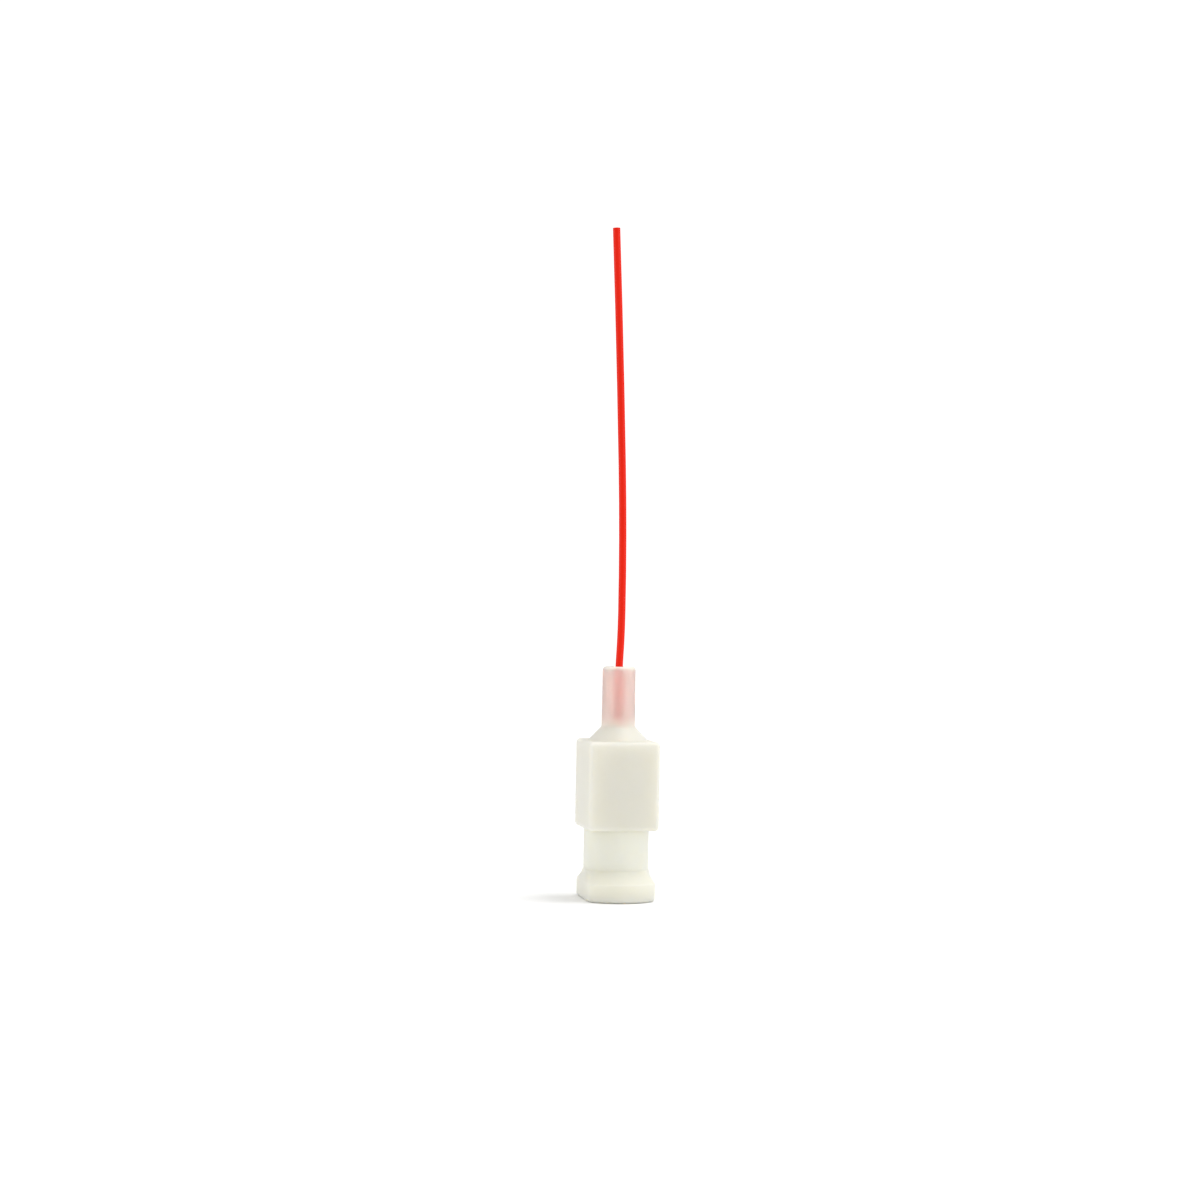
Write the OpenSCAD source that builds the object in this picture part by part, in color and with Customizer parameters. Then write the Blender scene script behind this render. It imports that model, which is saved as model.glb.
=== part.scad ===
// Dispensing needle tip: a moulded plastic hub with a female lock socket, and a bowed plastic tube.
// The centre of the socket's mouth is the origin, and the hub's axis is +Z.
// All lengths are in millimetres.

/* [Socket] */
// Diameter of the tapered socket at its mouth
socket_d = 4.315; // [4.27:0.005:4.34]
// Diameter that the socket loses along its length, in percent of that length
socket_taper = 6; // [5:0.5:7]
// Depth of the tapered part of the socket
socket_depth = 8.5; // [7.5:0.25:9.5]
// Bevel that leads into the socket
lead_in = 0.1; // [0.05:0.05:0.2]
// Height of the narrow stop between the funnel and the tube's end
stop_h = 0.4; // [0.2:0.1:0.8]

/* [Locking lugs] */
// Diameter across the two lugs
lug_d = 7.8; // [7.4:0.05:8]
// Width between the two flats that part the lugs
lug_w = 5.95; // [5.85:0.05:6.8]
// Height of the lugs' upright rim
lug_h = 1.55; // [1:0.05:2]
// Slope of the side that the collar pulls on, in degrees from level
lug_slope = 45; // [30:1:60]
// Bevel round the foot of the lugs
lug_bevel = 0.3; // [0.05:0.05:0.4]

/* [Hub body] */
// Diameter of the barrel round the socket
barrel_d = 5.65; // [5.3:0.05:5.8]
// Height of the barrel, from the mouth to the block's underside
barrel_h = 6.1; // [5:0.1:8]
// Width of the square grip block across its flats
block_w = 6.2; // [5.95:0.05:8]
// Height of the block
block_h = 7.65; // [6:0.05:10]
// Rounding of the block's edges
block_r = 0.35; // [0.15:0.05:0.4]
// Diameter of the shoulder's foot, on top of the block
shoulder_d = 5.2; // [4:0.05:5.2]
// Height of the shoulder
shoulder_h = 1.2; // [0.5:0.05:2]

/* [Neck] */
// Diameter of the neck at its foot
neck_d = 2.9; // [2.4:0.02:3.6]
// Diameter that the neck loses over its height, so that it leaves the mould
neck_draft = 0.06; // [0:0.01:0.2]
// Height of the neck
neck_h = 5.2; // [3.5:0.05:8]
// Bevel round the neck's mouth
neck_bevel = 0.25; // [0.1:0.05:0.4]
// Depth of the countersink round the tube
sink_h = 0.3; // [0.1:0.05:0.5]

/* [Tube] */
// Outside diameter of the tube
tube_od = 0.65; // [0.5:0.01:1.2]
// Bore of the tube
tube_id = 0.25; // [0.15:0.01:0.35]
// Depth to which the tube is set into the neck
seat_depth = 5; // [3:0.1:6.5]
// Free length of the tube beyond the neck
stem_len = 38.1; // [25:0.1:60]

/* [Bow of the tube] */
// Lean towards +X that the tube takes as it leaves the neck, in degrees
exit_turn = 3.2; // [0.5:0.1:5]
// Radius of the bend that gives it that lean
exit_r = 11; // [8:1:20]
// Turn back towards the axis, in degrees
back_turn = 2.9; // [0.5:0.1:5]
// Radius of the bend that turns it back
back_r = 79; // [40:1:120]
// Turn of the long middle stretch towards -X, in degrees
bow_turn = 2.35; // [0.5:0.05:4]
// Radius of the middle stretch
bow_r = 317; // [200:1:450]
// Radius of the last stretch up to the tip, nearly straight
tip_r = 1460; // [500:10:3000]

/* [Hidden] */

$fn = 96;
// Facets in a full turn of the tube's wide bends, of which it uses a few degrees
bend_fn = 1440;
// Facets round the tube
section_fn = 48;
// How far a cutting shape runs past the face that it opens
overrun = 0.1;

// Heights above the mouth
lug_top = lug_h + (lug_d - barrel_d) / 2 * tan(lug_slope);
block_top = barrel_h + block_h;
block_mid = barrel_h + block_h / 2;
neck_foot = block_top + shoulder_h;
neck_top = neck_foot + neck_h;
seat_z = neck_top - seat_depth;
funnel_top = seat_z - stop_h;

// The stop covers half of the tube's wall, and leaves its bore open
stop_r = (tube_od + tube_id) / 4;
neck_mouth_r = (neck_d - neck_draft) / 2;

// The bends beyond the neck, each as its turn, positive towards -X, and its radius
HELD_BENDS = [
    [-exit_turn, exit_r],
    [back_turn, back_r],
    [bow_turn, bow_r],
];

// The last bend takes up what is left of the free length
held_run = arc(exit_turn, exit_r) + arc(back_turn, back_r) + arc(bow_turn, bow_r);
BENDS = concat(HELD_BENDS, [[(stem_len - held_run) / tip_r * 180 / PI, tip_r]]);

// Length of a bend
function arc(turn, radius) = radius * turn * PI / 180;

// Radius of the socket at a height above its mouth
function socket_r(height) = socket_d / 2 - socket_taper / 200 * height;

// The point at a radius and an angle in the tube's plane, counted from +X towards +Z
function polar(radius, angle) = [radius * cos(angle), 0, radius * sin(angle)];

// A rectangle with rounded corners
module rounded_rectangle(width, height, radius) {
    square([width - 2 * radius, height], center = true);
    square([width, height - 2 * radius], center = true);
    for (x = [-1, 1], y = [-1, 1])
        translate([x * (width / 2 - radius), y * (height / 2 - radius)])
            circle(radius);
}

// The two locking lugs: a turned flange with a sloped back, cut down by two flats
module lugs() {
    intersection() {
        rotate_extrude()
            polygon([
                [0, 0],
                [lug_d / 2 - lug_bevel, 0],
                [lug_d / 2, lug_bevel],
                [lug_d / 2, lug_h],
                [barrel_d / 2, lug_top],
                [0, lug_top],
            ]);
        translate([-lug_w / 2, -lug_d, -overrun])
            cube([lug_w, 2 * lug_d, lug_top + 2 * overrun]);
    }
}

// The square grip block, with every edge rounded where three rounded bars cross
module grip_block() {
    translate([0, 0, block_mid])
        intersection() {
            linear_extrude(block_h, center = true)
                rounded_rectangle(block_w, block_w, block_r);
            rotate([90, 0, 0])
                linear_extrude(block_w, center = true)
                    rounded_rectangle(block_w, block_h, block_r);
            rotate([90, 0, 90])
                linear_extrude(block_w, center = true)
                    rounded_rectangle(block_w, block_h, block_r);
        }
}

// The conical shoulder and the drafted neck, turned as one from inside the block
module shoulder_and_neck() {
    rotate_extrude()
        polygon([
            [0, block_mid],
            [shoulder_d / 2, block_mid],
            [shoulder_d / 2, block_top],
            [neck_d / 2, neck_foot],
            [neck_mouth_r, neck_top - neck_bevel],
            [neck_mouth_r - neck_bevel, neck_top],
            [0, neck_top],
        ]);
}

// Everything that is hollow in the hub: socket, long funnel, stop, tube seat and countersink
module passage() {
    rotate_extrude()
        polygon([
            [0, -overrun],
            [socket_r(lead_in) + lead_in + overrun, -overrun],
            [socket_r(lead_in), lead_in],
            [socket_r(socket_depth), socket_depth],
            [stop_r, funnel_top],
            [stop_r, seat_z],
            [tube_od / 2, seat_z],
            [tube_od / 2, neck_top - sink_h],
            [tube_od / 2 + sink_h + overrun, neck_top + overrun],
            [0, neck_top + overrun],
        ]);
}

// The one-piece moulded hub
module hub() {
    color([0.91, 0.9, 0.84])
        difference() {
            union() {
                cylinder(h = block_mid, d = barrel_d);
                lugs();
                grip_block();
                shoulder_and_neck();
            }
            passage();
        }
}

// Cross-section of the tube's wall
module tube_section() {
    difference() {
        circle(d = tube_od, $fn = section_fn);
        circle(d = tube_id, $fn = section_fn);
    }
}

// A long move in two steps, hundredths first and then the rest, which loses no digits
module move(by) {
    hundredths = [for (length = by) round(length * 100) / 100];
    translate(hundredths)
        translate(by - hundredths)
            children();
}

// The bends from number i onwards, from a point where the tube leans by an angle towards -X
module bends_from(i, point, lean) {
    if (i < len(BENDS)) {
        turn = BENDS[i][0];
        radius = BENDS[i][1];
        side = sign(turn);
        centre = point - side * polar(radius, lean);
        move(centre)
            rotate([90, 0, 0])
                rotate_extrude(angle = turn, start = side > 0 ? lean : lean + 180, $fn = bend_fn)
                    translate([radius, 0])
                        tube_section();
        bends_from(i + 1, centre + side * polar(radius, lean + turn), lean + turn);
    }
}

// The extruded tube: straight in its seat, then bowed
module tube() {
    color([0.93, 0.17, 0.1]) {
        translate([0, 0, seat_z])
            linear_extrude(neck_top - seat_z)
                tube_section();
        bends_from(0, [0, 0, neck_top], 0);
    }
}

hub();
tube();
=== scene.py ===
import math

import bpy
import numpy as np
from mathutils import Matrix, Vector


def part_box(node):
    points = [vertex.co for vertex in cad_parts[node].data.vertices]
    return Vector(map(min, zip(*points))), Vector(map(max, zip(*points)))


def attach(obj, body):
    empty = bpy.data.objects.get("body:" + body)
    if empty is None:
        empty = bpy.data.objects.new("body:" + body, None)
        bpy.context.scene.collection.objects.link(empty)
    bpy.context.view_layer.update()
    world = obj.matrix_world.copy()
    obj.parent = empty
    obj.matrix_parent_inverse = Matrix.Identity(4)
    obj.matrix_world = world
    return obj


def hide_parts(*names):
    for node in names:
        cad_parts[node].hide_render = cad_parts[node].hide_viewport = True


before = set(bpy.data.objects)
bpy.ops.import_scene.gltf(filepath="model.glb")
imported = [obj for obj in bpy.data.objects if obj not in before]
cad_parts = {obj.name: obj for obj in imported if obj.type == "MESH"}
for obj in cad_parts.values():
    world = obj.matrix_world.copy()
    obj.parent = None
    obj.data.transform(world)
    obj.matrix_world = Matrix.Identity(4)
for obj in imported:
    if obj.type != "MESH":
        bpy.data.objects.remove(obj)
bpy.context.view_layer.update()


# Hub. One injection moulding in natural polypropylene, a milky and see-through plastic.
# Its foot has two lugs for a lock collar, and a round barrel, a square grip and a neck
# stand on it. Inside are the tapered socket, a long funnel, a stop and the tube's seat.

# sizes in millimetres: the frame gives the outermost ones and the height of the tube's seat
grip_half, lug_r, neck_top = 1000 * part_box("hub")[1]
seat_z = 1000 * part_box("tube")[0].z

# from the axis to the two flats that part the lugs
lug_flat = 2.975
# the top of the lugs' upright rim, and where their sloped back meets the barrel
lug_rim, lug_end = 1.55, 2.625
# rounding of the foot, and of the lugs' edge and the end of their slope
foot_round, rim_round, slope_round = 0.3, 0.15, 0.25
barrel_r = 2.825
# width and height of the fillet between the barrel and the grip
fillet_w, fillet_h = 0.05, 0.12
grip_foot, grip_head = 6.1, 13.75
# rounding of the grip's edges, and the least rounding of its outline, where those edges run out
grip_round, corner_least = 0.35, 0.01
shoulder_r, shoulder_top = 2.6, 14.95
# the flat step round the shoulder, and the roundings at its foot and its top
step_w, step_round, shoulder_round = 0.12, 0.15, 0.35
# the neck at its foot and at its mouth, and the mouth's rounding outside and inside
neck_r, neck_mouth_r = 1.45, 1.42
mouth_round, sink_round = 0.3, 0.05
# the countersink, the seat, set a little inside the tube's skin, and the stop under it
sink_r, seat_r, stop_r = 0.625, 0.31, 0.225
stop_h = 0.4
# the socket's radius at its mouth, what it loses in each millimetre, and its depth
socket_r, taper, socket_depth = 2.1575, 0.03, 8.5
# the bevel that leads into the socket, the rounding of small edges there, and of the funnel's start
lead_in, lead_round, funnel_round = 0.1, 0.05, 1.5
# edges that turn by more than this stay sharp, in degrees
sharp_turn = 35


def around():
    """Angles of the skin's upright lines: 2.5 degrees apart, and 0.5 degrees at the grip's corners."""
    side = np.arange(0, 38, 2.5)
    corner = np.arange(38.5, 52, 0.5)
    quarter = np.concatenate([side, corner, 90 - side[:0:-1]])
    return np.radians(np.concatenate([quarter + turn for turn in (0, 90, 180, 270)]))


def arc_rounded(points, radii, steps=6):
    """A line through points, each corner replaced by an arc of its own radius.

    The arc's centre lies on the line that halves the corner, at the radius over the sine of half its angle.
    The arc turns between the two points where it touches the sides, each weighted by the sine of its share.
    """
    points, radii = np.array(points, float), np.array(radii, float)[:, None]
    corners = points[1:-1]
    before, after = points[:-2] - corners, points[2:] - corners
    before /= np.linalg.norm(before, axis=1, keepdims=True)
    after /= np.linalg.norm(after, axis=1, keepdims=True)
    half = np.arccos(np.clip((before * after).sum(1, keepdims=True), -1, 1)) / 2
    middle = before + after
    middle /= np.linalg.norm(middle, axis=1, keepdims=True)
    centre = corners + middle * radii / np.sin(half)
    start = corners + before * radii / np.tan(half) - centre
    end = corners + after * radii / np.tan(half) - centre
    turn = np.pi - 2 * half[:, None]
    share = np.linspace(0, 1, steps)[None, :, None]
    spokes = start[:, None] * np.sin((1 - share) * turn) + end[:, None] * np.sin(share * turn)
    arcs = centre[:, None] + spokes / np.sin(turn)
    return np.vstack([points[:1], arcs.reshape(-1, 2), points[-1:]])


def square_outline(half, corner, angles):
    """Distance from the axis to a square with rounded corners, at each angle.

    On a side it is half the width over the larger of the angle's cosine and sine. Round a corner it is the
    far root of the quadratic for the place where the ray meets the corner's circle.
    """
    long = np.maximum(abs(np.cos(angles)), abs(np.sin(angles)))
    both = abs(np.cos(angles)) + abs(np.sin(angles))
    inner = half - corner
    root = np.sqrt(np.maximum((inner * both) ** 2 - 2 * inner**2 + corner**2, 0))
    return np.where(np.sqrt(1 - long**2) * half > inner * long, inner * both + root, half / long)


def lug_outline(radius, flat, angles):
    """Distance from the axis to a circle cut by two flats: a high power mean of both eases their edges."""
    power = 50.0
    return (radius**-power + (abs(np.cos(angles)) / flat) ** power) ** (-1 / power)


def turned(profile, angles):
    """Round rings from a list of radii and heights: each ring has one radius at every angle."""
    radii, heights = np.hsplit(np.array(profile, float), 2)
    return np.repeat(radii, len(angles), 1), heights


def hub_rings(angles):
    """Radii and heights of the skin's rings, up the outside and back down the passage, in millimetres.

    A rounding takes a quarter turn: one way it has gone its radius times 1 less the cosine, which starts
    slowly, and the other way it has still to go its radius times 1 less the sine, which shrinks fast.
    """
    quarter = np.radians(np.linspace(0, 90, 7))[:, None]
    slow, fast = 1 - np.cos(quarter), 1 - np.sin(quarter)
    socket_end = (socket_r - taper * socket_depth, socket_depth)
    bevel_end = (socket_r - taper * lead_in, lead_in)

    # the lugs' rounded foot, then their upright rim and sloped back up to the barrel
    foot_in = foot_round * fast
    foot = lug_outline(lug_r - foot_in, lug_flat - foot_in, angles), foot_round * slow
    slope = [(lug_r, foot_round), (lug_r, lug_rim), (barrel_r, lug_end), (barrel_r, grip_foot)]
    slope = arc_rounded(slope, [rim_round, slope_round])[1:-1]
    back = lug_outline(slope[:, :1], lug_flat, angles), slope[:, 1:]

    # the fillet under the grip, then the grip's rounded underside and top, with its flats between them
    fillet = turned(np.hstack([barrel_r + fillet_w * slow, grip_foot - fillet_h * fast])[:-1], angles)
    under = square_outline(grip_half - grip_round * fast, grip_round * (1 - fast) + corner_least, angles)
    under = np.maximum(under, barrel_r + fillet_w), grip_foot + grip_round * slow
    top = square_outline(grip_half - grip_round * slow, grip_round * (1 - slow) + corner_least, angles)
    top = top, grip_head - grip_round * fast

    # the shoulder, the neck and its mouth
    neck = [(shoulder_r + step_w, grip_head), (shoulder_r, grip_head), (neck_r, shoulder_top),
            (neck_mouth_r, neck_top), (sink_r, neck_top), (seat_r, neck_top - (sink_r - seat_r))]
    neck = turned(arc_rounded(neck, [step_round, shoulder_round, mouth_round, sink_round]), angles)

    # the passage: seat, stop, long funnel, socket and the bevel at the mouth
    mouth = (bevel_end[0] + lead_in, 0)
    passage = [(stop_r, seat_z), (stop_r, seat_z - stop_h), socket_end, bevel_end, mouth]
    passage = arc_rounded(passage, [lead_round, funnel_round, lead_round])
    passage = turned(np.vstack([[(seat_r, seat_z)], passage]), angles)

    stretches = [foot, back, fillet, under, top, neck, passage]
    radii, heights = zip(*stretches)
    return np.vstack(radii), np.vstack(heights)


def ring_mesh(name, radii, heights, angles):
    """A closed skin from rings: each ring joins the next, and the last joins the first.

    A point lies at its ring's radius times the cosine and the sine of its angle.
    """
    rings, count = radii.shape
    points = np.stack([radii * np.cos(angles), radii * np.sin(angles), np.repeat(heights, count, 1)], -1)
    ring, line = np.meshgrid(np.arange(rings), np.arange(count), indexing="ij")
    ahead, next_line = (ring + 1) % rings, (line + 1) % count
    corners = np.stack([ring * count + line, ring * count + next_line,
                        ahead * count + next_line, ahead * count + line], -1).reshape(-1, 4)
    mesh = bpy.data.meshes.new(name)
    mesh.vertices.add(rings * count)
    mesh.vertices.foreach_set("co", (points * 0.001).ravel())
    mesh.loops.add(corners.size)
    mesh.loops.foreach_set("vertex_index", corners.ravel())
    mesh.polygons.add(len(corners))
    mesh.polygons.foreach_set("loop_start", np.arange(0, corners.size, 4))
    mesh.update(calc_edges=True)
    mesh.validate()
    mesh.shade_smooth()
    mesh.set_sharp_from_angle(angle=math.radians(sharp_turn))
    return mesh


class Socket:
    """A shader value: the sums make Math nodes, and the reflected forms take a plain number first."""

    def __init__(self, tree, output):
        self.tree, self.output = tree, output

    def math(self, operation, other, flipped=False):
        """One Math node of this value and another."""
        node = self.tree.nodes.new("ShaderNodeMath")
        node.operation = operation
        for slot, value in zip(node.inputs, (other, self) if flipped else (self, other)):
            connect(self.tree, value, slot)
        return Socket(self.tree, node.outputs[0])

    def __add__(self, other):
        return self.math("ADD", other)

    def __sub__(self, other):
        return self.math("SUBTRACT", other)

    def __mul__(self, other):
        return self.math("MULTIPLY", other)

    def __rsub__(self, other):
        return self.math("SUBTRACT", other, flipped=True)

    __radd__, __rmul__ = __add__, __mul__


def connect(tree, value, slot):
    """Links a shader value into a slot, or writes a constant there."""
    if isinstance(value, Socket):
        tree.links.new(value.output, slot)
    else:
        slot.default_value = value


class Shader:
    """A material's node tree, with one method that adds a node of any kind."""

    def __init__(self, name):
        self.material = bpy.data.materials.new(name)
        self.material.use_nodes = True
        self.tree = self.material.node_tree
        self.surface = self.tree.nodes["Principled BSDF"]

    def node(self, kind, output=0, settings=(), **inputs):
        """Adds a node: settings are its own properties, and inputs are its sockets, with _ for a space."""
        node = self.tree.nodes.new("ShaderNode" + kind)
        for name, value in dict(settings).items():
            setattr(node, name, value)
        for name, value in inputs.items():
            connect(self.tree, value, node.inputs[name.replace("_", " ")])
        return Socket(self.tree, node.outputs[output])

    def step(self, value, low, high):
        """Rises smoothly from 0 to 1 between low and high."""
        smooth = {"interpolation_type": "SMOOTHSTEP"}
        return self.node("MapRange", settings=smooth, Value=value, From_Min=low, From_Max=high)

    def blend(self, factor, low, high):
        """A colour that goes from low to high, through the colour sockets of a Mix node."""
        node = self.tree.nodes.new("ShaderNodeMix")
        node.data_type = "RGBA"
        share, first_colour, second_colour = node.inputs[0], node.inputs[6], node.inputs[7]
        for slot, value in ((share, factor), (first_colour, low), (second_colour, high)):
            connect(self.tree, value, slot)
        return Socket(self.tree, node.outputs[2])

    def set(self, **inputs):
        """Sets inputs of the surface."""
        for name, value in inputs.items():
            connect(self.tree, value, self.surface.inputs[name.replace("_", " ")])

    def mix(self, factor, other):
        """Shows another surface in place of the first one where the factor is 1."""
        node = self.tree.nodes.new("ShaderNodeMixShader")
        for slot, value in zip(node.inputs, (factor, Socket(self.tree, self.surface.outputs[0]), other)):
            connect(self.tree, value, slot)
        self.tree.links.new(node.outputs[0], self.tree.nodes["Material Output"].inputs["Surface"])


def natural_plastic():
    """Milky polypropylene with faint flow clouds and mould grain.

    It is painted paler in the barrel and the neck, and half as much in the lugs: painted light, for what
    shines through their slight walls. The neck is a second surface, clear enough to show the red tube
    inside, and its pink tint is painted light, the red of the tube scattered through its wall.
    """
    shader = Shader("natural_plastic")
    place = shader.node("TexCoord", output="Object")
    height = shader.node("SeparateXYZ", output="Z", Vector=place)
    clouds = shader.node("TexNoise", Vector=place, Scale=420.0, Detail=3.0, Roughness=0.5)
    grain = shader.node("TexNoise", Vector=place, Scale=9000.0, Detail=2.0, Roughness=0.6)
    wavy_height = height + 0.0012 * (clouds - 0.5)

    # heights between which each form passes into the next, in metres
    lugs_to_barrel = (0.0022, 0.0029)
    barrel_to_grip = (0.0058, 0.0064)
    shoulder_to_neck = (0.0148, 0.0162)
    neck_to_mouth = (0.0198, 0.0202)
    # where the painted pink of the tube's red light, scattered through the neck, fades in and fades out
    painted_pink_from, painted_pink_to = (0.0147, 0.0159), (0.0197, 0.0201)

    # painted light: the barrel fully and the lugs by half are lifted to the paler colour of light shining
    # through a slight wall; the grip keeps the plastic's own colour
    barrel = (0.5 + 0.5 * shader.step(height, *lugs_to_barrel)) * (1 - shader.step(height, *barrel_to_grip))
    above_shoulder = shader.step(height, *shoulder_to_neck)
    # painted light: a pink tint for the tube's red light scattered through the neck's wall, its edges made
    # wavy by the clouds
    painted_tube_light = shader.step(wavy_height, *painted_pink_from) * (1 - shader.step(wavy_height, *painted_pink_to))
    # the first colour is the plastic's own; the second is painted paler, for light shining through a slight
    # wall, and it is given to the barrel, the lugs and the neck
    thick = shader.blend(clouds, (0.765, 0.751, 0.665, 1), (0.795, 0.781, 0.705, 1))
    thin_wall_painted_light = shader.blend(clouds, (0.905, 0.885, 0.73, 1), (0.93, 0.915, 0.78, 1))
    plastic = shader.blend(barrel + above_shoulder, thick, thin_wall_painted_light)
    shared = dict(
        # the base colour carries painted light twice: the paler slight walls and the pink of the tube's
        # light in the neck
        Base_Color=shader.blend(painted_tube_light, plastic, (1.0, 0.76, 0.7, 1)),
        Normal=shader.node("Bump", Strength=0.12, Distance=0.00004, Height=grain),
        Subsurface_Weight=1.0,
        Subsurface_Radius=(1.0, 0.95, 0.8),
        IOR=1.49,
    )
    shader.set(Roughness=0.46 + 0.12 * clouds, Transmission_Weight=0.22, Subsurface_Scale=0.0016, **shared)
    clearer = shader.node("BsdfPrincipled", Roughness=0.7 + 0.12 * clouds, Transmission_Weight=0.6,
                          Subsurface_Scale=0.002, **shared)
    shader.mix(above_shoulder * (1 - shader.step(height, *neck_to_mouth)), clearer)
    return shader.material


angles = around()
hub = bpy.data.objects.new("hub_skin", ring_mesh("hub_skin", *hub_rings(angles), angles))
bpy.context.collection.objects.link(hub)
hub.data.materials.append(natural_plastic())
hub.modifiers.new("flat_faces", "WEIGHTED_NORMAL").keep_sharp = True
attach(hub, "root")
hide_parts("hub")


# Tube. An extrusion in red plastic, 0.65 mm thick, held in the hub's neck and slightly bowed.
# It is opaque and smooth, with the faint draw lines that a die leaves along it.

def red_plastic():
    """Smooth red plastic with a slight change of tone and fine lines along the tube."""
    shader = Shader("red_plastic")
    place = shader.node("TexCoord", output="Object")
    along_tube = shader.node("Mapping", Vector=place, Scale=(1.0, 1.0, 0.03))
    tone = shader.node("TexNoise", Vector=place, Scale=160.0, Detail=2.0, Roughness=0.5)
    lines = shader.node("TexNoise", Vector=along_tube, Scale=14000.0, Detail=2.0, Roughness=0.6)
    shader.set(
        Base_Color=shader.blend(tone, (0.7, 0.011, 0.001, 1), (0.77, 0.016, 0.002, 1)),
        Roughness=0.3 + 0.1 * tone,
        Normal=shader.node("Bump", Strength=0.4, Distance=0.00002, Height=lines),
        Specular_IOR_Level=0.15,
        IOR=1.45,
    )
    return shader.material


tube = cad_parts["tube"]
tube.data.materials.clear()
tube.data.materials.append(red_plastic())


# Floor and light. A plain white table in a white room, under a soft key high on the right, with a
# side light in front on the right and a weak fill on the left. The table fades out before its
# edge, so the room's white joins it without a line.

def table_top():
    """Plain and pale, fading out before the edge."""
    shader = Shader("table_top")
    place = shader.node("TexCoord", output="Object")
    reach = shader.node("VectorMath", output="Value", settings={"operation": "LENGTH"}, Vector=place)
    shader.set(
        Base_Color=(0.91, 0.91, 0.91, 1),
        Roughness=0.9,
        Specular_IOR_Level=0.0,
        Alpha=1 - shader.step(reach, *table_fade),
    )
    return shader.material


# half the table's width, and how far from the tip it fades out, in metres
table_half = 0.2
table_fade = (0.06, 0.12)
# just under the hub's mouth, so that the two faces don't share a plane
table_z = -0.00001
table_corners = [(x * table_half, y * table_half, 0) for x, y in ((-1, -1), (1, -1), (1, 1), (-1, 1))]
floor_mesh = bpy.data.meshes.new("floor")
floor_mesh.from_pydata(table_corners, [], [(0, 1, 2, 3)])
floor_mesh.materials.append(table_top())
floor = bpy.data.objects.new("floor", floor_mesh)
floor.location.z = table_z
bpy.context.collection.objects.link(floor)

# the room is white where the camera sees it, and a little less bright for what it lights
seen_level, lit_level = 1.1, 0.82
world = bpy.data.worlds.new("room")
bpy.context.scene.world = world
world.use_nodes = True
room = world.node_tree
seen = room.nodes.new("ShaderNodeLightPath")
level = room.nodes.new("ShaderNodeMapRange")
room.links.new(seen.outputs["Is Camera Ray"], level.inputs["Value"])
level.inputs["To Min"].default_value = lit_level
level.inputs["To Max"].default_value = seen_level
room.links.new(level.outputs[0], room.nodes["Background"].inputs["Strength"])
room.nodes["Background"].inputs["Color"].default_value = (1, 1, 1, 1)


def soft_light(name, place, aim, width, power):
    """A square soft light at a place, turned towards a point."""
    lamp = bpy.data.lights.new(name, "AREA")
    lamp.shape, lamp.size, lamp.energy = "SQUARE", width, power
    light = bpy.data.objects.new(name, lamp)
    light.location = place
    light.rotation_euler = (Vector(aim) - Vector(place)).to_track_quat("-Z", "Y").to_euler()
    bpy.context.collection.objects.link(light)


soft_light("key", place=(0.12, 0.0, 0.33), aim=(0, 0, 0.02), width=0.15, power=0.5)
soft_light("side", place=(0.23, -0.2, 0.08), aim=(0, 0, 0.02), width=0.2, power=0.25)
soft_light("fill", place=(-0.3, 0.0, 0.08), aim=(0, 0, 0.01), width=0.2, power=0.25)


# Camera. A level camera about 200 mm away, from a little to the left of the front, aimed at
# half the tip's height. It is rolled by a degree, so the tip stands a little off upright.

azimuth, roll = math.radians(-12.3), math.radians(1.03)
# focal length and sensor width, in millimetres
focal, sensor = 69.0, 36.0
# what the view takes in at the tip, and where it is aimed, in metres across and along the tip
view_width = 0.1043
aim_across, aim_along = -0.00131, 0.02593
right = Vector((math.cos(azimuth), math.sin(azimuth), 0))
back = Vector((math.sin(azimuth), -math.cos(azimuth), 0))
upright = back.cross(right)
across = right * math.cos(roll) + upright * math.sin(roll)
along = upright * math.cos(roll) - right * math.sin(roll)
stand = aim_across * across + aim_along * along + back * view_width * focal / sensor
lens = bpy.data.cameras.new("camera")
lens.lens, lens.sensor_width = focal, sensor
camera = bpy.data.objects.new("camera", lens)
camera.matrix_world = Matrix.Translation(stand) @ Matrix((across, along, back)).transposed().to_4x4()
bpy.context.collection.objects.link(camera)
bpy.context.scene.camera = camera
bpy.context.scene.view_settings.view_transform = "Standard"
